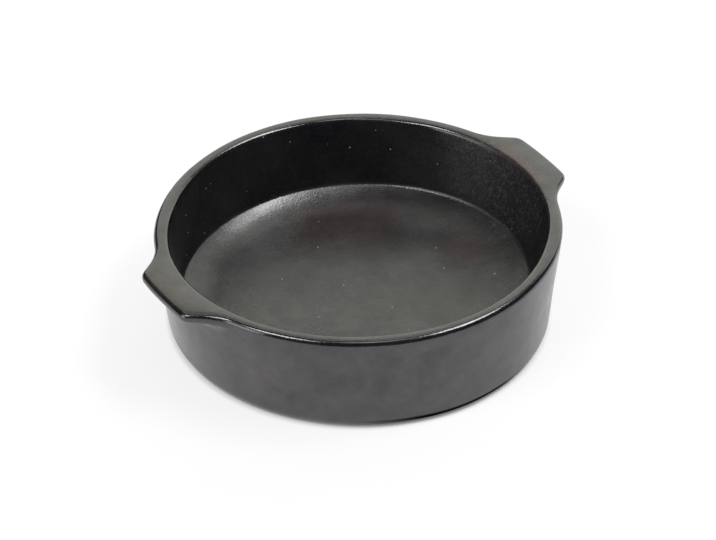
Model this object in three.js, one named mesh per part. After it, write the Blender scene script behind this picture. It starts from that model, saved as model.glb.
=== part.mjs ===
// Round baking dish of burnished black clay: a pressed bowl with a flat rim, and a lug handle luted
// onto each side of it. Millimetres, +Z up, origin in the middle of the underside, lugs along X.

import * as THREE from 'three';
import { mergeVertices } from 'three/addons/utils/BufferGeometryUtils.js';

// Bowl sizes
const rimDiameter = 240;       // outside the rim, clear of the lugs
const dishHeight = 63;         // table to rim
const rimWidth = 8.6;          // flat of the rim and both its rounds, the wall's thickness at the top
const wallDrawIn = 5;          // how far the outside draws in from the rim down to the base
const footWallWidth = 13.5;    // the wall's thickness at its foot, where the inside turns into the floor
const footHeight = 20;
const footRound = 3;
const floorThickness = 12.5;
const floorFlatDiameter = 142; // outside it the floor curves up to the foot of the wall
const floorOffset = 12;        // the flat lies this far off the middle,
const floorTowards = 118;      // on this side, in degrees from the right lug
const heelRound = 6.5;         // round between the wall and the underside
const rimInnerRound = 1.8;
const rimOuterRound = 2.8;

// Lug sizes
const lugReach = 11.1;         // how far a lug stands out beyond the rim
const lugEdgeWidth = 47.5;     // its outer edge, between the corners
const lugRootWidth = 73.4;     // its flanks, where they would cross the rim's outline
const lugEdgeBow = 0.8;        // its outer edge is bowed out a little
const lugCornerRound = 7.6;
const lugRootFillet = 37;      // long hollow curve from each flank into the rim
const lugThickness = 5.5;      // at its outer edge
const lugUnderRound = 2.2;     // lower round of that edge
const lugUnderRise = 4;        // its underside is this much higher at the edge than at the wall
const lugUnderFillet = 7;      // hollow of clay smoothed from the underside into the wall
const luteGap = 0.3;           // room for the slip that bonds a lug to the wall
const lugTipThickness = 0.2;   // its ends thin out to this along the rim

// The rim of a hand-pressed bowl wanders from a true circle, fading to a round base, and so does the foot
// of the wall inside, fading to the rim
const outlineWaves = [
  { waves: 2, swell: 1.8, peak: -2 },
  { waves: 4, swell: 0.5, peak: -2 },
];
const footWaves = [{ waves: 2, swell: 3.6, peak: 0 }];

// Facets
const turnSteps = 96;          // round the bowl
const arcSteps = {
  floor: 7, foot: 3, heel: 5, rim: 5, rimInner: 3, lugCorner: 6, lugRoot: 10, lugEdge: 8, lugUnder: 5,
};

const rimRadius = rimDiameter / 2;
const deg = Math.PI / 180;

// Points along a line of corners [x, y, radius, steps], each corner rounded by a tangent arc
function roundedLine(corners) {
  return corners.flatMap(([x, y, radius = 0, steps = 1], i) => {
    const corner = new THREE.Vector2(x, y);
    if (radius === 0) return [corner];
    const back = new THREE.Vector2(...corners[i - 1]).sub(corner).normalize();
    const ahead = new THREE.Vector2(...corners[i + 1]).sub(corner).normalize();
    const half = back.angleTo(ahead) / 2;
    const centre = back.clone().add(ahead).normalize().multiplyScalar(radius / Math.sin(half)).add(corner);
    const first = back.clone().multiplyScalar(radius / Math.tan(half)).add(corner);
    const start = first.clone().sub(centre).angle();
    const sweep = (Math.PI - 2 * half) * Math.sign(-back.cross(ahead));
    return arc(centre, radius, start, start + sweep, steps);
  });
}

function arc(centre, radius, from, to, steps) {
  return Array.from({ length: steps + 1 }, (_, k) => {
    const angle = from + (to - from) * k / steps;
    return new THREE.Vector2(centre.x + radius * Math.cos(angle), centre.y + radius * Math.sin(angle));
  });
}

// Outside of the wall at a height, before the rim and heel are rounded
function wallRadius(z) {
  return rimRadius - wallDrawIn * (dishHeight - z) / dishHeight;
}

// Inside of the wall at its foot
function footRadius() {
  return wallRadius(footHeight) - footWallWidth;
}

// Foot of the wall inside, then the floor's curve from there down to the edge of its flat
function floorCurve() {
  const foot = new THREE.Vector2(footRadius(), footHeight);
  const flat = new THREE.Vector2(floorFlatDiameter / 2, floorThickness);
  const radius = foot.distanceToSquared(flat) / (2 * (foot.y - flat.y));
  const centre = new THREE.Vector2(flat.x, flat.y + radius);
  const fromFoot = Math.atan2(foot.y - centre.y, foot.x - centre.x);
  return arc(centre, radius, fromFoot, -Math.PI / 2, arcSteps.floor);
}

// Section of the bowl from the middle of its underside, up the outside and back to the middle of the floor
function pressedBowl() {
  const [foot, ...curve] = floorCurve();
  const section = roundedLine([
    [0, 0],
    [wallRadius(0), 0, heelRound, arcSteps.heel],
    [rimRadius, dishHeight, rimOuterRound, arcSteps.rim],
    [rimRadius - rimWidth, dishHeight, rimInnerRound, arcSteps.rimInner],
    [foot.x, foot.y, footRound, arcSteps.foot],
    ...curve.map((point) => point.toArray()),
    [0, floorThickness],
  ]);
  return new THREE.LatheGeometry(section, turnSteps).rotateX(Math.PI / 2);
}

// Half of a lug's plan outline, from the middle of its outer edge to its thin end on the rim
function lugHalfOutline() {
  const edge = rimRadius + lugReach;
  const corner = new THREE.Vector2(edge, lugEdgeWidth / 2);
  const root = new THREE.Vector2(Math.sqrt(rimRadius ** 2 - (lugRootWidth / 2) ** 2), lugRootWidth / 2);
  const flank = corner.clone().sub(root).normalize();
  const outward = new THREE.Vector2(-flank.y, flank.x);
  const hollow = root.clone().addScaledVector(outward, lugRootFillet);
  const along = hollow.dot(flank);
  const slide = Math.sqrt(along ** 2 + (rimRadius + lugRootFillet) ** 2 - hollow.lengthSq()) - along;
  hollow.addScaledVector(flank, slide);

  const bowed = Array.from({ length: arcSteps.lugEdge / 2 }, (_, k) => {
    const y = k / (arcSteps.lugEdge / 2) * (corner.y - lugCornerRound);
    return new THREE.Vector2(edge + lugEdgeBow * (1 - (y / corner.y) ** 2), y);
  });
  const rounded = roundedLine([bowed.at(-1).toArray(), [corner.x, corner.y, lugCornerRound, arcSteps.lugCorner],
    root.toArray()]).slice(1, -1);
  const fromFlank = outward.clone().negate().angle();
  const toRim = hollow.clone().negate().angle();
  const tipRadius = rimRadius + luteGap + lugTipThickness;
  const tipCosine = (hollow.lengthSq() + lugRootFillet ** 2 - tipRadius ** 2) / (2 * hollow.length() * lugRootFillet);
  const toTip = toRim + Math.acos(tipCosine);
  return [...bowed, ...rounded, ...arc(hollow, lugRootFillet, fromFlank, toTip, arcSteps.lugRoot)];
}

// Edge and underside of a lug at its full reach: distance out from the wall, and height
function lugEdgeSection() {
  const meetsWall = dishHeight - lugThickness - lugUnderRise;
  return roundedLine([
    [lugReach, dishHeight - rimOuterRound],
    [lugReach, dishHeight - lugThickness, lugUnderRound, arcSteps.lugUnder],
    [0, meetsWall, lugUnderFillet, arcSteps.lugUnder],
    [0, meetsWall - 2 * lugUnderFillet],
  ]).slice(1, -1);
}

// The lug's underside at a smaller reach, drawn in towards the wall and cut off where it meets the lute
function drawnIn(edgeSection, reach) {
  const line = edgeSection.map(({ x, y }) => new THREE.Vector2(x * reach / lugReach, y));
  const last = line.findIndex(({ x }) => x <= luteGap);
  const [above, below] = [line[last - 1], line[last]];
  const end = above.clone().lerp(below, (above.x - luteGap) / (above.x - below.x));
  const curve = new THREE.CurvePath();
  const kept = [...line.slice(0, last), end];
  kept.slice(1).forEach((point, k) => curve.add(new THREE.LineCurve(kept[k], point)));
  return curve.getSpacedPoints(3 * arcSteps.lugUnder).map(({ x, y }) => new THREE.Vector2(wallRadius(y) + x, y));
}

// Section of a lug where its outline stands `reach` beyond the rim, as (radius, height) points: up the seat
// against the wall and the rim's outer round, then out over the top and down round the edge and underside
function lugSection(reach, edgeSection) {
  const roundCentre = new THREE.Vector2(rimRadius - rimOuterRound, dishHeight - rimOuterRound);
  const seatRound = rimOuterRound + luteGap;
  const flatFrom = Math.sqrt(seatRound ** 2 - rimOuterRound ** 2);
  const shift = Math.min(reach, flatFrom);
  const topX = (shift ** 2 + flatFrom ** 2) / (2 * shift);
  const top = new THREE.Vector2(topX, Math.sqrt(seatRound ** 2 - topX ** 2));

  const seat = arc(roundCentre, seatRound, 0, top.angle(), arcSteps.rim);
  const outerCentre = roundCentre.clone().setX(roundCentre.x + reach);
  const outerFrom = Math.min(Math.PI / 2, Math.atan2(top.y, top.x - reach));
  const outerRound = arc(outerCentre, rimOuterRound, outerFrom, 0, arcSteps.rim);
  const underside = drawnIn(edgeSection, reach);
  return [underside.at(-1), ...seat, ...outerRound, ...underside.slice(0, -1)];
}

// Closed skin over a row of alike sections, with a flat cap on the first and the last. Where a section
// has two points at one place they are welded, and the faces that this leaves without area are dropped.
function loft(rings) {
  const size = rings[0].points.length;
  const positions = rings.flatMap(({ angle, points }) =>
    points.flatMap(({ x, y }) => [x * Math.cos(angle), x * Math.sin(angle), y]));
  const faces = [];
  for (let ring = 0; ring < rings.length - 1; ring++) {
    for (let k = 0; k < size; k++) {
      const [a, b] = [ring * size + k, ring * size + (k + 1) % size];
      faces.push([a, b, b + size], [a, b + size, a + size]);
    }
  }
  for (const [ring, flip] of [[0, false], [rings.length - 1, true]]) {
    for (const face of THREE.ShapeUtils.triangulateShape(rings[ring].points, [])) {
      const cap = face.map((k) => ring * size + k);
      faces.push(flip ? cap.reverse() : cap);
    }
  }
  const loose = new THREE.BufferGeometry();
  loose.setAttribute('position', new THREE.Float32BufferAttribute(positions, 3));
  loose.setIndex(faces.flat());
  const welded = mergeVertices(loose);
  const corners = Array.from(welded.index.array);
  const kept = faces.flatMap((_, i) => {
    const face = corners.slice(3 * i, 3 * i + 3);
    return new Set(face).size === 3 ? face : [];
  });
  welded.setIndex(kept);
  return welded;
}

// Lug on the +X side, lofted along its outline, with its seat fitted to the outside of the wall
function lugHandle() {
  const half = lugHalfOutline();
  const outline = [...half.slice(1).map(({ x, y }) => new THREE.Vector2(x, -y)).reverse(), ...half];
  const edgeSection = lugEdgeSection();
  return loft(outline.map((point) => ({
    angle: Math.atan2(point.y, point.x),
    points: lugSection(point.length() - rimRadius, edgeSection),
  })));
}

function wander(waves, angle) {
  return waves.reduce((sum, wave) => sum + wave.swell * Math.cos(wave.waves * (angle - wave.peak * deg)), 0);
}

// How much a point follows the foot's waves: all of it round the foot and on the floor inside, none of it
// at the rim, on the outside and on the underside
function footShare(radius, z) {
  const inWall = THREE.MathUtils.clamp((wallRadius(z) - radius) / footWallWidth, 0, 1);
  return inWall * Math.min(z / floorThickness, 1) * (dishHeight - z) / (dishHeight - floorThickness);
}

// How much a point follows the flat of the floor off the middle: all of it at the flat's edge, none of it in
// the middle and from the foot outwards
function flatShare(radius) {
  const flat = floorFlatDiameter / 2;
  return THREE.MathUtils.clamp(Math.min(radius / flat, (footRadius() - radius) / (footRadius() - flat)), 0, 1);
}

// Moves each point in or out by the waves and by the offset of the floor's flat; `turn` is how far the
// piece will be turned about Z
function handShaped(geometry, turn = 0) {
  const position = geometry.attributes.position;
  for (let i = 0; i < position.count; i++) {
    const point = new THREE.Vector3().fromBufferAttribute(position, i);
    const angle = Math.atan2(point.y, point.x);
    const radius = Math.hypot(point.x, point.y);
    const side = angle + turn;
    const atFoot = footShare(radius, point.z);
    const swell = wander(outlineWaves, side) * point.z / dishHeight + wander(footWaves, side) * atFoot;
    const shift = floorOffset * Math.cos(side - floorTowards * deg) * flatShare(radius);
    const moved = radius * (1 + swell / rimRadius) + shift;
    position.setXYZ(i, moved * Math.cos(angle), moved * Math.sin(angle), point.z);
  }
  geometry.computeVertexNormals();
  return geometry;
}

function blackClay(color) {
  return new THREE.MeshStandardMaterial({ color, roughness: 0.42, metalness: 0 });
}

function addPiece(parent, name, geometry, material, turn = 0) {
  const piece = new THREE.Mesh(handShaped(geometry, turn), material);
  piece.name = name;
  piece.rotation.z = turn;
  parent.add(piece);
}

const dish = new THREE.Group();
addPiece(dish, 'dish_body', pressedBowl(), blackClay(0x3b3b39));
addPiece(dish, 'lug_handle_right', lugHandle(), blackClay(0x41403d));
addPiece(dish, 'lug_handle_left', lugHandle(), blackClay(0x41403d), Math.PI);

export default dish;
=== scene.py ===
import math

import bpy
import numpy as np
from mathutils import Matrix, Vector


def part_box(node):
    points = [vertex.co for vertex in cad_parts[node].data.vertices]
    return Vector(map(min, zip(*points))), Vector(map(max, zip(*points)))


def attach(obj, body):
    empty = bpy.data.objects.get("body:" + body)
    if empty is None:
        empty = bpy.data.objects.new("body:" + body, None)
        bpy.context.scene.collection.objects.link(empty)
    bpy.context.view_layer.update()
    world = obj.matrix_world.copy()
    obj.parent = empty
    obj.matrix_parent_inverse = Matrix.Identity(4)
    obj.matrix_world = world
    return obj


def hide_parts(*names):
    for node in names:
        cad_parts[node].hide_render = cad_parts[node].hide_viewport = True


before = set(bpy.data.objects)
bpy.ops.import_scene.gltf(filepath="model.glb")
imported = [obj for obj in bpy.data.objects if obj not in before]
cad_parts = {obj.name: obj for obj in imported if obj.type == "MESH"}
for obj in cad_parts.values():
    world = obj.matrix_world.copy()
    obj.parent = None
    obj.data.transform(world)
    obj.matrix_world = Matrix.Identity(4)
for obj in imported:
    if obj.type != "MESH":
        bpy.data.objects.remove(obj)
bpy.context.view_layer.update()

mm = 0.001


# Shape of the dish
bowl = {  # millimetres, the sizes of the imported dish_body where no note says otherwise
    "height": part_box("dish_body")[1].z / mm,
    "rimRadius": 120.0,
    "rimWidth": 8.6,
    "wallDrawIn": 5.0,        # the outside draws in this far, rim to base
    "footWallWidth": 13.5,    # the wall's thickness where the inside turns into the floor
    "footHeight": 20.0,
    "footRound": 3.0,
    "floorThickness": 12.5,
    "floorFlat": 71.0,        # radius of the flat of the floor, outside it the floor curves up to the foot
    "floorOffset": 12.0,      # the flat lies off the middle of the dish by this much,
    "floorTowards": 118.0,    # towards this side, in degrees
    "heelRound": 6.5,
    "rimInnerRound": 2.6,     # packed with 1.8, and worn rounder by the stone
    "rimOuterRound": 2.8,
}

lug = {  # millimetres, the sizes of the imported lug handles
    "reach": 11.1,
    "edgeWidth": 47.5,
    "rootWidth": 73.4,
    "edgeBow": 0.8,
    "cornerRound": 7.6,
    "rootFillet": 37.0,
    "thickness": 5.5,
    "underRound": 2.2,
    "underRise": 4.0,
    "underFillet": 7.0,
    "seatBlend": 0.12,        # share of the lug's width over which its seat sinks into the wall
}

handWork = {  # what the potter's hand leaves; a wave is (how many go round, swell in mm, peak in degrees)
    "outlineWaves": [(1, 0.6, 65.0), (2, 2.14, -0.9), (3, 0.3, 57.0), (4, 0.5, -2.0)],    # of the rim
    "baseWaves": [(1, 0.3, -120.0), (2, 0.9, 66.0), (3, 0.6, 50.0)],    # of the outside of the base
    "footWaves": [(2, 3.6, 0.0), (1, 2.2, 115.0)],                      # of the inside of the foot
    "broadSwell": 0.10, "broadSize": 46.0,    # mm, unevenness from pressing over the mould
    "fineSwell": 0.02, "fineSize": 11.0,      # mm, facets left by the burnishing stone
    "inwards": 0.05,                          # mm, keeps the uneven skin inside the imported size
    "rimDip": 0.05, "rimSize": 90.0,          # mm, the rim's top dips this much here and there
    "topEven": 0.97,                          # the rim's top is evener than the rest by this share
    "rimDome": 0.4, "domeDepth": 14.0,        # mm, the rim's top is lower by this at its two edges
    "seeds": (9, 5, 8),                       # of the broad unevenness, of the facets and of the dips
    "fieldWaves": 28, "fieldSpread": 0.3,     # waves in a field of unevenness, and how their sizes vary
}

skinSteps = {  # quads along each stretch of the section, and the spacing round the outline in mm
    "floor": 34, "floorRound": 16, "foot": 8, "innerWall": 24, "rimInner": 8, "rimFlat": 9, "rimOuter": 10,
    "lugUnder": 8, "lugUnderFlat": 4, "wall": 22, "heel": 10, "underside": 18,
    "seamOnRim": 3,           # quads of the rim's flat that stay with the bowl where a lug joins it
    "lugEdge": 24, "lugCorner": 24, "lugRoot": 40,    # points of the lug's plan, before it is spaced evenly
    "aroundLug": 0.9, "aroundRim": 2.2,
}


def arcPoints(centre, radius, start, end, steps):
    angles = np.linspace(start, end, steps + 1)
    return np.stack([centre[0] + radius * np.cos(angles), centre[1] + radius * np.sin(angles)], 1)


def cornerArc(before, corner, after, radius, steps):
    # arc that rounds the corner between two straight stretches
    before, corner, after = (np.array(p, float) for p in (before, corner, after))
    back = (before - corner) / np.linalg.norm(before - corner)
    ahead = (after - corner) / np.linalg.norm(after - corner)
    half = math.acos(back @ ahead) / 2
    middle = (back + ahead) / np.linalg.norm(back + ahead)
    centre = corner + middle * radius / math.sin(half)
    first = corner + back * radius / math.tan(half) - centre
    start = math.atan2(first[1], first[0])
    side = -1 if back[0] * ahead[1] - back[1] * ahead[0] > 0 else 1
    return arcPoints(centre, radius, start, start + side * (math.pi - 2 * half), steps)


def between(start, end, steps):
    return np.linspace(start, end, steps + 1)[1:-1]   # points inside a straight stretch


def eased(share):
    return share * share * (3 - 2 * share)            # starts and ends softly


def wallRadius(z):
    return bowl["rimRadius"] - bowl["wallDrawIn"] * (bowl["height"] - z) / bowl["height"]


def nearRimTop(z):
    return np.clip(1 - (bowl["height"] - z) / handWork["domeDepth"], 0, 1)


def lugHalfOutline():
    # plan of half a lug, from the middle of its outer edge to where it joins the rim
    radius, fillet = bowl["rimRadius"], lug["rootFillet"]
    corner = np.array([radius + lug["reach"], lug["edgeWidth"] / 2])
    rootY = lug["rootWidth"] / 2
    root = np.array([math.sqrt(radius ** 2 - rootY ** 2), rootY])
    flank = (corner - root) / np.linalg.norm(corner - root)
    outward = np.array([-flank[1], flank[0]])
    hollow = root + outward * fillet
    along = hollow @ flank
    hollow = hollow + flank * (math.sqrt(along ** 2 + (radius + fillet) ** 2 - hollow @ hollow) - along)
    straightY = np.linspace(0, corner[1] - lug["cornerRound"], skinSteps["lugEdge"])
    bowed = np.stack([corner[0] + lug["edgeBow"] * (1 - (straightY / corner[1]) ** 2), straightY], 1)
    rounded = cornerArc(bowed[-1], corner, root, lug["cornerRound"], skinSteps["lugCorner"])
    start = math.atan2(-outward[1], -outward[0])
    end = math.atan2(-hollow[1], -hollow[0])
    return np.concatenate([bowed, rounded, arcPoints(hollow, fillet, start, end, skinSteps["lugRoot"])])


def evenlyAlong(points, spacing):
    lengths = np.concatenate([[0], np.cumsum(np.linalg.norm(np.diff(points, axis=0), axis=1))])
    wanted = np.linspace(0, lengths[-1], int(lengths[-1] / spacing) + 1)
    return np.stack([np.interp(wanted, lengths, points[:, k]) for k in (0, 1)], 1)


def stationsRound():
    # angle and reach beyond the rim at each station round the dish, with the lug's stations first
    half = evenlyAlong(lugHalfOutline(), skinSteps["aroundLug"])
    angle = np.arctan2(half[:, 1], half[:, 0])
    reach = np.maximum(np.linalg.norm(half, axis=1) - bowl["rimRadius"], 0)
    reach[-1] = 0
    lugAngles = np.concatenate([-angle[:0:-1], angle])
    lugReach = np.concatenate([reach[:0:-1], reach])
    rimLength = (math.pi - 2 * angle[-1]) * bowl["rimRadius"]
    rimAngles = between(angle[-1], math.pi - angle[-1], int(rimLength / skinSteps["aroundRim"]))
    halfTurn = np.concatenate([lugAngles, rimAngles])
    halfReach = np.concatenate([lugReach, np.zeros(len(rimAngles))])
    return np.concatenate([halfTurn, halfTurn + math.pi]), np.tile(halfReach, 2), len(lugAngles)


def insideSection():
    # (radius, height) from the middle of the floor up to the flat of the rim
    top, floor, steps = bowl["height"], bowl["floorThickness"], skinSteps
    innerRim = (bowl["rimRadius"] - bowl["rimWidth"], top)
    foot = (wallRadius(bowl["footHeight"]) - bowl["footWallWidth"], bowl["footHeight"])
    rise, run = foot[1] - floor, foot[0] - bowl["floorFlat"]
    curve = (rise ** 2 + run ** 2) / (2 * rise)
    toFoot = math.atan2(rise - curve, run)
    floorArc = arcPoints((bowl["floorFlat"], floor + curve), curve, -math.pi / 2, toFoot,
                         steps["floorRound"])[:-1]
    footArc = cornerArc(floorArc[-1], foot, innerRim, bowl["footRound"], steps["foot"])
    rimArc = cornerArc(foot, innerRim, (bowl["rimRadius"], top), bowl["rimInnerRound"], steps["rimInner"])
    return np.concatenate([between((0, floor), floorArc[0], steps["floor"]), floorArc, footArc,
                           between(footArc[-1], rimArc[0], steps["innerWall"]), rimArc])


def lugUnderside():
    # (reach, height) from the lug's outer edge under the lug to the wall, with the fillet between them
    full, under = lug["reach"], bowl["height"] - lug["thickness"]
    meets = under - lug["underRise"]
    edgeArc = cornerArc((full, bowl["height"]), (full, under), (0, meets), lug["underRound"],
                        skinSteps["lugUnder"])
    fillet = cornerArc((full, under), (0, meets), (0, 0), lug["underFillet"], 2 * skinSteps["lugUnder"])
    return np.concatenate([edgeArc, between(edgeArc[-1], fillet[0], skinSteps["lugUnderFlat"]), fillet])


def dishSection(reach):
    # (radius, height) of the skin from the middle of the floor over the rim to the middle of the underside,
    # one row for each station's reach, and the places where the lug's clay starts and ends
    top, rimRadius, steps, count = bowl["height"], bowl["rimRadius"], skinSteps, len(reach)
    innerRim, base = (rimRadius - bowl["rimWidth"], top), (wallRadius(0), 0)
    outerArc = cornerArc(innerRim, (rimRadius, top), base, bowl["rimOuterRound"], steps["rimOuter"])
    heelArc = cornerArc((rimRadius, top), base, (0, 0), bowl["heelRound"], steps["heel"])
    inside, under = insideSection(), lugUnderside()
    outwards = np.stack([reach, 0 * reach], 1)
    across = np.linspace(0, 1, steps["rimFlat"] + 1)[1:-1, None]
    rimFlat = inside[-1] * (1 - across) + (outerArc[0] + outwards)[:, None] * across
    rimEdge = outerArc + outwards[:, None]
    underLug = np.stack([wallRadius(under[:, 1]) + under[:, 0] / lug["reach"] * reach[:, None],
                         np.repeat(under[None, :, 1], count, 0)], 2)
    wallStart = np.array([wallRadius(under[-1, 1]), under[-1, 1]])
    lower = np.concatenate([between(wallStart, heelArc[0], steps["wall"]), heelArc,
                            between(heelArc[-1], (0, 0), steps["underside"])])
    upper = [np.repeat(inside[None], count, 0), rimFlat, rimEdge, underLug]
    seamTop = len(inside) + steps["seamOnRim"]
    seamEnd = sum(stretch.shape[1] for stretch in upper) - 1
    section = np.concatenate(upper + [np.repeat(lower[None], count, 0)], 1)
    return domeRim(section, reach), seamTop, seamEnd


def domeRim(section, reach):
    # the thumb leaves the rim's top slightly domed across its width
    radius, z = section[..., 0], section[..., 1]
    innerRim = bowl["rimRadius"] - bowl["rimWidth"]
    across = np.clip((radius - innerRim) / (bowl["rimWidth"] + reach[:, None]), 0, 1)
    drop = handWork["rimDome"] * (2 * across - 1) ** 2 * eased(nearRimTop(z))
    return np.stack([radius, z - drop], 2)


def unevenness(points, size, seed):
    # smooth field of about unit height: waves of about one size in every direction
    random = np.random.default_rng(seed)
    count, spread = handWork["fieldWaves"], handWork["fieldSpread"]
    direction = random.normal(size=(count, 3))
    direction /= np.linalg.norm(direction, axis=1)[:, None]
    wave = direction * (2 * math.pi / size) * random.uniform(1 - spread, 1 + spread, (count, 1))
    phase = random.uniform(0, 2 * math.pi, count)
    return np.sin(points @ wave.T + phase).sum(-1) / math.sqrt(count / 2)


def wander(waves, angle):
    swell = sum(height * np.cos(count * (angle - math.radians(peak))) for count, height, peak in waves)
    return swell[:, None]


def placeSkin(angle, section):
    # the section's points round the dish, in mm, with the waves of the rim, the base and the foot, and with
    # the flat of the floor off the middle
    radius, z = section[..., 0], section[..., 1]
    upRim = z / bowl["height"]
    inWall = np.clip((wallRadius(z) - radius) / bowl["footWallWidth"], 0, 1)
    offFloor = (bowl["height"] - z) / (bowl["height"] - bowl["floorThickness"])
    atFoot = inWall * np.minimum(z / bowl["floorThickness"], 1) * offFloor
    footRadius = wallRadius(bowl["footHeight"]) - bowl["footWallWidth"]
    onFloor = np.minimum(radius / bowl["floorFlat"],
                         (footRadius - radius) / (footRadius - bowl["floorFlat"]))
    shift = bowl["floorOffset"] * np.cos(angle - math.radians(bowl["floorTowards"]))[:, None]
    swell = wander(handWork["outlineWaves"], angle) * upRim + wander(handWork["footWaves"], angle) * atFoot
    swell += wander(handWork["baseWaves"], angle) * (1 - upRim) * (1 - inWall)
    radius = radius * (1 + swell / bowl["rimRadius"]) + shift * np.clip(onFloor, 0, 1)
    return np.stack([radius * np.cos(angle)[:, None], radius * np.sin(angle)[:, None], z], 2)


def gridQuads(rows, columns):
    # quads of a grid of points that closes on itself round the dish
    rowIndex = np.arange(rows)[:, None]
    nextRow = (rowIndex + 1) % rows
    column = np.arange(columns - 1)[None]
    corner = [rowIndex * columns + column, rowIndex * columns + column + 1,
              nextRow * columns + column + 1, nextRow * columns + column]
    return np.stack(np.broadcast_arrays(*corner), 2)


def meshFrom(name, points, faces):
    mesh = bpy.data.meshes.new(name)
    mesh.from_pydata((points * mm).tolist(), [], faces)
    mesh.update()
    return mesh


def skinNormals(points, faces):
    # smooth normals of the whole skin, which its three pieces keep, so that no seam shows
    mesh = meshFrom("wholeSkin", points, faces)
    normals = np.zeros(len(mesh.vertices) * 3, np.float32)
    mesh.vertex_normals.foreach_get("vector", normals)
    bpy.data.meshes.remove(mesh)
    return normals.reshape(-1, 3)


def addHandWork(points, faces):
    # swells the skin along its normals, and lets the rim's top dip; the flat underside stays flat
    normals = skinNormals(points, faces)
    work = handWork
    swell = work["broadSwell"] * unevenness(points, work["broadSize"], work["seeds"][0])
    swell += work["fineSwell"] * unevenness(points, work["fineSize"], work["seeds"][1])
    swell -= work["inwards"]
    offGround = np.clip(points[:, 2] / bowl["heelRound"], 0, 1)
    dip = work["rimDip"] * unevenness(points * [1, 1, 0], work["rimSize"], work["seeds"][2]) ** 2
    upward = np.clip((points[:, 2] - bowl["floorThickness"]) / bowl["height"], 0, 1) ** 2
    moved = points + normals * (swell * offGround)[:, None]
    moved[:, 2] -= normals[:, 2] * swell * work["topEven"] * nearRimTop(points[:, 2])
    moved[:, 2] -= dip * upward
    return moved


def buildDish():
    # one skin for the whole dish, cut into the bowl and the two lugs, and closed with the seats they share
    angle, reach, lugCount = stationsRound()
    section, seamTop, seamEnd = dishSection(reach)
    rows, columns = section.shape[:2]
    grid = placeSkin(angle, section).reshape(-1, 3)
    floorPole, basePole = len(grid), len(grid) + 1
    points = np.concatenate([grid, [[0, 0, bowl["floorThickness"]], [0, 0, 0]]])
    quads = gridQuads(rows, columns)
    first = np.arange(rows) * columns
    following = np.roll(first, -1)
    floorFan = [[floorPole, int(a), int(b)] for a, b in zip(first, following)]
    baseFan = [[basePole, int(b), int(a)] for a, b in zip(first + columns - 1, following + columns - 1)]
    whole = quads.reshape(-1, 4).tolist() + floorFan + baseFan
    points = addHandWork(points, whole)
    normals = skinNormals(points, whole)

    seatPoints, seats, lugSkins = [], [], []
    taken = np.zeros(quads.shape[:2], bool)
    down = np.linspace(0, 1, seamEnd - seamTop + 1)[None, :, None]
    along = np.linspace(0, 1, lugCount)
    sink = eased(np.clip(np.minimum(along, 1 - along) / lug["seatBlend"], 0, 1))[:, None, None]
    for start in (0, rows // 2):
        stations = np.arange(start, start + lugCount)
        taken[stations[:-1], seamTop:seamEnd] = True
        lugSkins.append(quads[stations[:-1], seamTop:seamEnd].reshape(-1, 4))
        patch = stations[:, None] * columns + np.arange(seamTop, seamEnd + 1)[None]
        skinHere = points[patch]
        chord = skinHere[:, :1] * (1 - down) + skinHere[:, -1:] * down
        seat = (skinHere * (1 - sink) + chord * sink)[1:-1, 1:-1]
        base = len(points) + sum(len(s) for s in seatPoints)
        seatPoints.append(seat.reshape(-1, 3))
        corners = patch.copy()
        corners[1:-1, 1:-1] = base + np.arange(seat.shape[0] * seat.shape[1]).reshape(seat.shape[:2])
        seatQuads = np.stack([corners[:-1, :-1], corners[:-1, 1:], corners[1:, 1:], corners[1:, :-1]], 2)
        seats.append(seatQuads.reshape(-1, 4))
    everything = np.concatenate([points] + seatPoints)
    bodySkin = quads[~taken].tolist() + floorFan + baseFan
    bodySeats = np.concatenate(seats).tolist()
    dish = {"dishBody": makePiece("dishBody", everything, normals, bodySkin, bodySeats)}
    for name, skin, seat in zip(("lugHandleRight", "lugHandleLeft"), lugSkins, seats):
        dish[name] = makePiece(name, everything, normals, skin.tolist(), seat[:, ::-1].tolist())
    return dish


def makePiece(name, points, normals, skinFaces, seatFaces):
    faces = skinFaces + seatFaces
    used = np.unique(np.concatenate([np.ravel(f) for f in faces]).astype(int))
    place = np.full(len(points), -1)
    place[used] = np.arange(len(used))
    mesh = meshFrom(name, points[used], [[int(place[v]) for v in face] for face in faces])
    mesh.polygons.foreach_set("use_smooth", [True] * len(faces))
    loopNormals = [normals[v] for face in skinFaces for v in face]
    flat = np.zeros(len(mesh.polygons) * 3, np.float32)
    mesh.polygon_normals.foreach_get("vector", flat)
    flat = flat.reshape(-1, 3)
    loopNormals += [flat[len(skinFaces) + k] for k, face in enumerate(seatFaces) for _ in face]
    mesh.normals_split_custom_set([tuple(map(float, n)) for n in loopNormals])
    piece = bpy.data.objects.new(name, mesh)
    bpy.context.scene.collection.objects.link(piece)
    return piece


# Materials
def srgb(hexColor):
    # linear colour of an sRGB hex value
    parts = [int(hexColor[k:k + 2], 16) / 255 for k in (1, 3, 5)]
    return [p / 12.92 if p <= 0.04045 else ((p + 0.055) / 1.055) ** 2.4 for p in parts] + [1.0]


def addNode(tree, kind, links=None, **settings):
    node = tree.nodes.new(kind)
    for name, value in settings.items():
        setattr(node, name, value)
    for socket, value in (links or {}).items():
        if isinstance(value, bpy.types.NodeSocket):
            tree.links.new(value, node.inputs[socket])
        else:
            node.inputs[socket].default_value = value
    return node


noiseLow, noiseHigh = 0.3, 0.7    # nearly all of a noise texture lies between these

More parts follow.
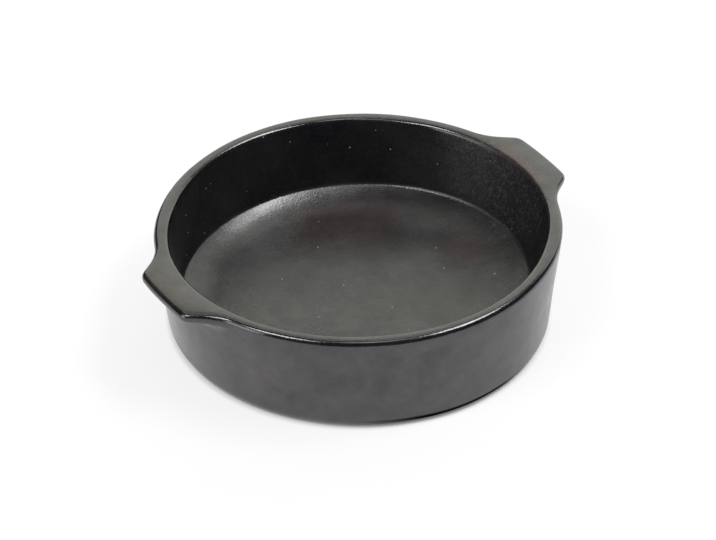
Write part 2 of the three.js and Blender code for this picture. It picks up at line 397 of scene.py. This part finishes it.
blackClay = {  # unglazed clay, burnished with a stone and blackened in smoke: a satin near-black skin with
               # a graphite sheen, fine grit showing through it and a few mica flecks
    "sootAndHeelShade": "#0b0b10",
    "ash": "#1a1715",             # where the smoke took less the clay is a shade warmer
    "ashFrom": 0.35, "ashTo": 0.7,    # the clouds' noise between soot and ash
    "ior": 1.8,                   # the carbon in the skin lifts it above bare clay
    "cloudSize": 38.0,            # mm, clouds of soot
    "satin": 0.32,                # roughness of the inside
    "burnished": 0.21,            # of the outer wall
    "handled": 0.16,              # of the rim and the lugs, rubbed last and most
    "bare": 0.62,                 # of the underside, left as it came off the mould
    "strokeLength": 40.0, "strokeWidth": 2.6, "strokeDepth": 0.016,    # mm, the stone's strokes
    "strokeSheen": 0.04,          # how much the roughness changes from stroke to stroke
    "cloudSheen": 0.12,           # and from cloud to cloud
    "gritSize": 1.4, "gritHeight": 0.16, "bareGritHeight": 0.4,        # mm, sand just under the skin
    "rimGrit": 0.4,               # share of the grit's height that is left on the rubbed rim
    "sand": "#5e5852",            # the sand's own tone, where the clay is coarse or its skin thin
    "sandSize": 2.2,              # mm, grains of 1 mm drawn coarse, or the picture would lose them
    "sandFrom": 0.53, "sandTo": 0.64,    # the sand's noise from clay to grain
    "sandShare": 0.05, "coarseSand": 0.75,    # share of the sand's tone, on smooth and on coarse clay
    "gloss": 0.5, "glossClouds": 0.10,    # of the smoke's film, thicker or thinner in patches
    "glossSize": 16.0,                    # mm, of those patches
    "pitSpacing": 9.0, "pitSize": 1.0, "pitDepth": 0.16,               # mm, where a grain popped out
    "pitSoft": 1.0,               # share of a pit's radius that slopes
    "mica": "#c9c4b8",            # flecks, drawn a little large to show
    "micaSpacing": 9.5, "micaSize": 1.0,                               # mm
    "micaSoft": 0.5,              # share of a fleck's radius that fades
    "micaOutside": 0.12,          # the stone has covered most of them on the outer wall
}

clayZones = {  # mm, where one finish passes into the next
    "outsideFrom": 1.0, "outsideTo": 2.5,    # outwards from the rim's inner edge
    "rimFrom": 4.0, "rimTo": 1.5,            # below the rim's top
    "underFrom": 1.0, "underTo": 0.2,        # above the table
}

fireMarks = {  # where the fire marked the skin: middle and half sizes in mm, tone and its share, coarseness
    "floorBack": {"at": (28, 62, 13), "size": (34, 24, 12), "tone": "#30201e", "share": 0.6},
    "floorRight": {"at": (76, 0, 14), "size": (13, 16, 10), "tone": "#30201e", "share": 0.6},
    "innerWall": {"at": (106, 4, 42), "size": (14, 44, 30), "tone": "#151316", "share": 0.9, "coarse": 0.6},
    "rimByLug": {"at": (117, 0, 63), "size": (6, 20, 5), "tone": "#43302c", "share": 0.7, "coarse": 0.5},
    "lugTip": {"at": (-128, 3, 64), "size": (9, 22, 2), "tone": "#45352a", "share": 0.4, "coarse": 0.6},
    "outerWall": {"at": (-111, -38, 32), "size": (20, 34, 24), "tone": "#2a2224", "share": 0.8},
}
markFades = (1.5, 0.5)    # a mark fades in between these, counted in its half sizes from its middle

# painted shade: the heel's sheen is taken away here, standing for the dark crack of the contact shadow that
# the heel reflects
heelPaintedShade = {"top": 6.4, "full": 4.9, "sideFrom": -90.0, "sideTo": -112.0}    # mm, up the heel and along Y


def clayRegions(tree, place, around):
    # shares from 0 to 1 of the outer wall, of the rim with the lugs, and of the underside
    height = addNode(tree, "ShaderNodeSeparateXYZ", {"Vector": place}).outputs["Z"]
    innerTop = bowl["rimRadius"] - bowl["rimWidth"]
    outside = addNode(tree, "ShaderNodeMapRange", {
        "Value": around, "From Min": innerTop + clayZones["outsideFrom"],
        "From Max": innerTop + clayZones["outsideTo"]}, interpolation_type="SMOOTHSTEP")
    rim = addNode(tree, "ShaderNodeMapRange", {
        "Value": height, "From Min": bowl["height"] - clayZones["rimFrom"],
        "From Max": bowl["height"] - clayZones["rimTo"]}, interpolation_type="SMOOTHSTEP")
    under = addNode(tree, "ShaderNodeMapRange", {
        "Value": height, "From Min": clayZones["underFrom"], "From Max": clayZones["underTo"]},
        interpolation_type="SMOOTHSTEP")
    return outside.outputs[0], rim.outputs[0], under.outputs[0]


def fireMark(tree, place, cloudLevel, mark):
    # soft-edged share of one mark, its edge wandering with the clouds
    offset = addNode(tree, "ShaderNodeVectorMath", {0: place, 1: mark["at"]}, operation="SUBTRACT")
    scaled = addNode(tree, "ShaderNodeVectorMath", {0: offset.outputs[0], 1: mark["size"]},
                     operation="DIVIDE")
    away = addNode(tree, "ShaderNodeVectorMath", {0: scaled.outputs[0]}, operation="LENGTH")
    edge = addNode(tree, "ShaderNodeMath", {0: away.outputs["Value"], 1: cloudLevel}, operation="ADD")
    share = addNode(tree, "ShaderNodeMapRange", {
        "Value": edge.outputs[0], "From Min": markFades[0], "From Max": markFades[1],
        "To Max": mark["share"]}, interpolation_type="SMOOTHSTEP")
    return share.outputs[0]


def sheenAbovePaintedShade(tree, place):
    # share of the sheen that is left: painted shade takes it away low on the heel, on one side of the dish
    parts = addNode(tree, "ShaderNodeSeparateXYZ", {"Vector": place})
    low = addNode(tree, "ShaderNodeMapRange", {
        "Value": parts.outputs["Z"], "From Min": heelPaintedShade["top"], "From Max": heelPaintedShade["full"]},
        interpolation_type="SMOOTHSTEP")
    side = addNode(tree, "ShaderNodeMapRange", {
        "Value": parts.outputs["Y"], "From Min": heelPaintedShade["sideFrom"], "From Max": heelPaintedShade["sideTo"]},
        interpolation_type="SMOOTHSTEP")
    # painted shade, low on the heel and on one side only
    sootAndHeelShade = addNode(tree, "ShaderNodeMath", {0: low.outputs[0], 1: side.outputs[0]}, operation="MULTIPLY")
    return addNode(tree, "ShaderNodeMath", {0: 1.0, 1: sootAndHeelShade.outputs[0]}, operation="SUBTRACT").outputs[0]


def burnishStrokes(tree, place, around):
    # long thin streaks that run round the dish, on the floor and up the wall alike
    parts = addNode(tree, "ShaderNodeSeparateXYZ", {"Vector": place})
    level = addNode(tree, "ShaderNodeCombineXYZ", {"X": parts.outputs["X"], "Y": parts.outputs["Y"]})
    turn = addNode(tree, "ShaderNodeVectorMath", {0: level.outputs[0]}, operation="NORMALIZE")
    turns = bowl["rimRadius"] / blackClay["strokeLength"]
    along = addNode(tree, "ShaderNodeVectorMath", {0: turn.outputs[0], 1: (turns, turns, 0)},
                    operation="MULTIPLY")
    across = addNode(tree, "ShaderNodeMath", {0: around, 1: parts.outputs["Z"]}, operation="ADD")
    rank = addNode(tree, "ShaderNodeMath", {0: across.outputs[0], 1: blackClay["strokeWidth"]},
                   operation="DIVIDE")
    lift = addNode(tree, "ShaderNodeCombineXYZ", {"Z": rank.outputs[0]})
    streak = addNode(tree, "ShaderNodeVectorMath", {0: along.outputs[0], 1: lift.outputs[0]},
                     operation="ADD")
    return addNode(tree, "ShaderNodeTexNoise", {
        "Vector": streak.outputs[0], "Scale": 1.0, "Detail": 2.0, "Roughness": 0.55}).outputs["Fac"]


def scattered(tree, place, spacing, size, softness):
    # round spots at random places, 1 at their middle
    cells = addNode(tree, "ShaderNodeTexVoronoi", {"Vector": place, "Scale": 1 / spacing})
    near = size / 2 / spacing
    spot = addNode(tree, "ShaderNodeMapRange", {
        "Value": cells.outputs["Distance"], "From Min": near, "From Max": near * (1 - softness)})
    return spot.outputs[0]


def burnishedBlackClay():
    clay = blackClay
    material = bpy.data.materials.new("burnishedBlackClay")
    material.use_nodes = True
    tree = material.node_tree
    tree.nodes.clear()
    where = addNode(tree, "ShaderNodeTexCoord").outputs["Object"]
    place = addNode(tree, "ShaderNodeVectorMath", {0: where, "Scale": 1 / mm}, operation="SCALE").outputs[0]
    flat = addNode(tree, "ShaderNodeVectorMath", {0: place, 1: (1, 1, 0)}, operation="MULTIPLY")
    outwards = addNode(tree, "ShaderNodeVectorMath", {0: flat.outputs[0]}, operation="LENGTH")
    around = outwards.outputs["Value"]
    outside, rim, under = clayRegions(tree, place, around)

    # tones of the soot, the fire marks, the mica and the sand
    clouds = addNode(tree, "ShaderNodeTexNoise", {
        "Vector": place, "Scale": 1 / clay["cloudSize"], "Detail": 4.0, "Roughness": 0.6}).outputs["Fac"]
    ashShare = addNode(tree, "ShaderNodeMapRange", {
        "Value": clouds, "From Min": clay["ashFrom"], "From Max": clay["ashTo"]})
    color = addNode(tree, "ShaderNodeMix", {
        0: ashShare.outputs[0], 6: srgb(clay["sootAndHeelShade"]), 7: srgb(clay["ash"])}, data_type="RGBA").outputs[2]
    cloudLevel = addNode(tree, "ShaderNodeMapRange", {
        "Value": clouds, "From Min": noiseLow, "From Max": noiseHigh,
        "To Min": -0.5, "To Max": 0.5}).outputs[0]
    coarse = under
    for mark in fireMarks.values():
        share = fireMark(tree, place, cloudLevel, mark)
        color = addNode(tree, "ShaderNodeMix", {0: share, 6: color, 7: srgb(mark["tone"])},
                        data_type="RGBA").outputs[2]
        if "coarse" in mark:
            rougher = addNode(tree, "ShaderNodeMath", {0: share, 1: mark["coarse"]}, operation="MULTIPLY")
            coarse = addNode(tree, "ShaderNodeMath", {0: coarse, 1: rougher.outputs[0]},
                             operation="MAXIMUM").outputs[0]
    flecks = scattered(tree, place, clay["micaSpacing"], clay["micaSize"], clay["micaSoft"])
    shown = addNode(tree, "ShaderNodeMapRange", {
        "Value": outside, "To Min": 1.0, "To Max": clay["micaOutside"]})
    flecks = addNode(tree, "ShaderNodeMath", {0: flecks, 1: shown.outputs[0]}, operation="MULTIPLY")
    color = addNode(tree, "ShaderNodeMix", {0: flecks.outputs[0], 6: color, 7: srgb(clay["mica"])},
                    data_type="RGBA").outputs[2]
    sand = addNode(tree, "ShaderNodeTexNoise", {
        "Vector": place, "Scale": 1 / clay["sandSize"], "Detail": 2.0, "Roughness": 0.7}).outputs["Fac"]
    sandShare = addNode(tree, "ShaderNodeMapRange", {
        "Value": coarse, "To Min": clay["sandShare"], "To Max": clay["coarseSand"]})
    sandShown = addNode(tree, "ShaderNodeMapRange", {
        "Value": sand, "From Min": clay["sandFrom"], "From Max": clay["sandTo"],
        "To Max": sandShare.outputs[0]})
    color = addNode(tree, "ShaderNodeMix", {0: sandShown.outputs[0], 6: color, 7: srgb(clay["sand"])},
                    data_type="RGBA").outputs[2]

    # sheen: roughness by place, stroke and cloud, and the gloss of the smoke's film
    strokes = burnishStrokes(tree, place, around)
    roughness = addNode(tree, "ShaderNodeMix", {
        0: outside, 2: clay["satin"], 3: clay["burnished"]}).outputs[0]
    roughness = addNode(tree, "ShaderNodeMix", {0: rim, 2: roughness, 3: clay["handled"]}).outputs[0]
    strokeSheen = addNode(tree, "ShaderNodeMapRange", {
        "Value": strokes, "From Min": noiseLow, "From Max": noiseHigh, "To Min": -clay["strokeSheen"] / 2,
        "To Max": clay["strokeSheen"] / 2})
    roughness = addNode(tree, "ShaderNodeMath", {0: roughness, 1: strokeSheen.outputs[0]},
                        operation="ADD").outputs[0]
    roughness = addNode(tree, "ShaderNodeMath", {0: cloudLevel, 1: clay["cloudSheen"], 2: roughness},
                        operation="MULTIPLY_ADD").outputs[0]
    roughness = addNode(tree, "ShaderNodeMix", {0: coarse, 2: roughness, 3: clay["bare"]}).outputs[0]
    film = addNode(tree, "ShaderNodeTexNoise", {
        "Vector": place, "Scale": 1 / clay["glossSize"], "Detail": 5.0, "Roughness": 0.7}).outputs["Fac"]
    gloss = addNode(tree, "ShaderNodeMapRange", {
        "Value": film, "From Min": noiseLow, "From Max": noiseHigh,
        "To Min": clay["gloss"] - clay["glossClouds"], "To Max": clay["gloss"] + clay["glossClouds"]})
    # the gloss is taken away low on the heel as painted shade
    gloss = addNode(tree, "ShaderNodeMath", {0: gloss.outputs[0], 1: sheenAbovePaintedShade(tree, place)},
                    operation="MULTIPLY")

    # relief of the grit, the strokes and the pits, in mm
    grit = addNode(tree, "ShaderNodeTexNoise", {
        "Vector": place, "Scale": 1 / clay["gritSize"], "Detail": 3.0, "Roughness": 0.6}).outputs["Fac"]
    gritHeight = addNode(tree, "ShaderNodeMapRange", {
        "Value": coarse, "To Min": clay["gritHeight"], "To Max": clay["bareGritHeight"]})
    rubbed = addNode(tree, "ShaderNodeMapRange", {"Value": rim, "To Min": 1.0, "To Max": clay["rimGrit"]})
    gritHeight = addNode(tree, "ShaderNodeMath", {0: gritHeight.outputs[0], 1: rubbed.outputs[0]},
                         operation="MULTIPLY")
    height = addNode(tree, "ShaderNodeMath", {0: grit, 1: gritHeight.outputs[0]}, operation="MULTIPLY")
    height = addNode(tree, "ShaderNodeMath", {0: strokes, 1: clay["strokeDepth"], 2: height.outputs[0]},
                     operation="MULTIPLY_ADD")
    pits = scattered(tree, place, clay["pitSpacing"], clay["pitSize"], clay["pitSoft"])
    height = addNode(tree, "ShaderNodeMath", {0: pits, 1: -clay["pitDepth"], 2: height.outputs[0]},
                     operation="MULTIPLY_ADD")
    bump = addNode(tree, "ShaderNodeBump", {"Height": height.outputs[0], "Distance": mm, "Strength": 1.0})

    shader = addNode(tree, "ShaderNodeBsdfPrincipled", {
        "Base Color": color, "Roughness": roughness, "IOR": clay["ior"],
        "Specular IOR Level": gloss.outputs[0], "Normal": bump.outputs["Normal"]})
    addNode(tree, "ShaderNodeOutputMaterial", {"Surface": shader.outputs["BSDF"]})
    return material


studioPaper = {
    "color": "#fdfdfd",
    "share": 0.8,             # how far the paper is brought up to white where it is seen,
    "contact": 0.004,         # metres, and not in the crack this near under the dish
    "halfSide": 4.0,          # metres
    "below": 0.0001,          # metres, lies this far under the dish, so that the two skins don't coincide
}


def whitePaper():
    # seamless matte paper, brought up to white only where it is seen, so it keeps the dish's soft shadow
    material = bpy.data.materials.new("whitePaper")
    material.use_nodes = True
    tree = material.node_tree
    tree.nodes.clear()
    path = addNode(tree, "ShaderNodeLightPath").outputs
    seen = addNode(tree, "ShaderNodeMath", {0: path["Is Camera Ray"], 1: path["Is Glossy Ray"]},
                   operation="MAXIMUM")
    seen = addNode(tree, "ShaderNodeMath", {0: seen.outputs[0], 1: path["Is Transmission Ray"]},
                   operation="MAXIMUM")
    share = addNode(tree, "ShaderNodeMath", {0: seen.outputs[0], 1: studioPaper["share"]},
                    operation="MULTIPLY")
    openness = addNode(tree, "ShaderNodeAmbientOcclusion", {"Distance": studioPaper["contact"]})
    share = addNode(tree, "ShaderNodeMath", {0: share.outputs[0], 1: openness.outputs["AO"]},
                    operation="MULTIPLY")
    paper = addNode(tree, "ShaderNodeBsdfDiffuse", {"Color": srgb(studioPaper["color"])})
    white = addNode(tree, "ShaderNodeEmission", {"Strength": 1.0})
    both = addNode(tree, "ShaderNodeMixShader", {
        0: share.outputs[0], 1: paper.outputs[0], 2: white.outputs[0]})
    addNode(tree, "ShaderNodeOutputMaterial", {"Surface": both.outputs[0]})
    return material


# Studio
view = {  # the photograph's view, for a 716 x 540 picture
    "azimuth": -32.36, "elevation": 36.16,      # degrees
    "distance": 1.68,                           # metres, 14 rim radii
    "aimHeight": 0.030,                         # metres above the table
    "lens": 141.5, "sensor": 36.0,              # mm
    "aimAcross": -0.0005, "aimUp": -0.0018,     # metres, sets the dish in the frame
    "farthest": 50.0,                           # metres
}


def axesFrom(azimuth, elevation):
    # right, up and back of a camera that looks at the dish from there
    a, e = math.radians(azimuth), math.radians(elevation)
    back = Vector((math.sin(a) * math.cos(e), -math.cos(a) * math.cos(e), math.sin(e)))
    right = Vector((math.cos(a), math.sin(a), 0))
    return right, back.cross(right), back


def addCamera():
    right, up, back = axesFrom(view["azimuth"], view["elevation"])
    aim = Vector((0, 0, view["aimHeight"])) + right * view["aimAcross"] + up * view["aimUp"]
    data = bpy.data.cameras.new("photoCamera")
    data.lens = view["lens"]
    data.sensor_width = view["sensor"]
    data.clip_end = view["farthest"]
    camera = bpy.data.objects.new("photoCamera", data)
    bpy.context.scene.collection.objects.link(camera)
    axes = Matrix((right, up, back)).transposed().to_4x4()
    camera.matrix_world = Matrix.Translation(aim + back * view["distance"]) @ axes
    bpy.context.scene.camera = camera


studioAir = {"color": "#dde6ff", "bright": 0.08}

softBoxes = {  # azimuth from the camera to its right and elevation in degrees, sides in metres
    "backPanel": {"azimuth": 165, "elevation": 24, "size": (4.6, 2.3), "bright": 1.3, "color": "#fffff4"},
    "backTop": {"azimuth": 170, "elevation": 60, "size": (2.6, 0.9), "bright": 1.3, "color": "#fffff4"},
    "overheadRight": {"azimuth": 92, "elevation": 60, "size": (1.6, 0.8), "bright": 11.5},
    "leftWindow": {"azimuth": -60, "elevation": 16, "size": (1.6, 1.8), "bright": 2.4},
    "highLeft": {"azimuth": -50, "elevation": 57, "size": (1.15, 0.75), "bright": 10.5},
    "overheadFront": {"azimuth": 20, "elevation": 78, "size": (1.0, 1.0), "bright": 2.6},
}


def addSoftBox(name, azimuth, elevation, size, bright, color="#ffffff", distance=3.0):
    back = axesFrom(view["azimuth"] + azimuth, elevation)[2]
    data = bpy.data.lights.new(name, "AREA")
    data.shape = "RECTANGLE"
    data.size, data.size_y = size
    data.energy = bright * math.pi * size[0] * size[1]
    data.color = srgb(color)[:3]
    lamp = bpy.data.objects.new(name, data)
    lamp.location = back * distance
    lamp.rotation_euler = back.to_track_quat("Z", "Y").to_euler()
    bpy.context.scene.collection.objects.link(lamp)


def addWorld(color, bright):
    world = bpy.data.worlds.new("studio")
    world.use_nodes = True
    tree = world.node_tree
    tree.nodes.clear()
    background = addNode(tree, "ShaderNodeBackground", {"Color": srgb(color), "Strength": bright})
    addNode(tree, "ShaderNodeOutputWorld", {"Surface": background.outputs["Background"]})
    bpy.context.scene.world = world


def addFloor():
    half = studioPaper["halfSide"]
    mesh = bpy.data.meshes.new("studioFloor")
    corners = [(-half, -half, 0), (half, -half, 0), (half, half, 0), (-half, half, 0)]
    mesh.from_pydata(corners, [], [(0, 1, 2, 3)])
    floor = bpy.data.objects.new("studioFloor", mesh)
    floor.location.z = -studioPaper["below"]
    mesh.materials.append(whitePaper())
    bpy.context.scene.collection.objects.link(floor)


print("building the dish")
pieces = buildDish()

print("blackening the clay")
clay = burnishedBlackClay()
for name, node in (("dishBody", "dish_body"), ("lugHandleRight", "lug_handle_right"),
                   ("lugHandleLeft", "lug_handle_left")):
    pieces[name].data.materials.append(clay)
    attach(pieces[name], "root")
    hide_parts(node)

print("setting up the studio")
addCamera()
addWorld(**studioAir)
for name, box in softBoxes.items():
    addSoftBox(name, **box)
addFloor()
bpy.context.scene.view_settings.view_transform = "Standard"
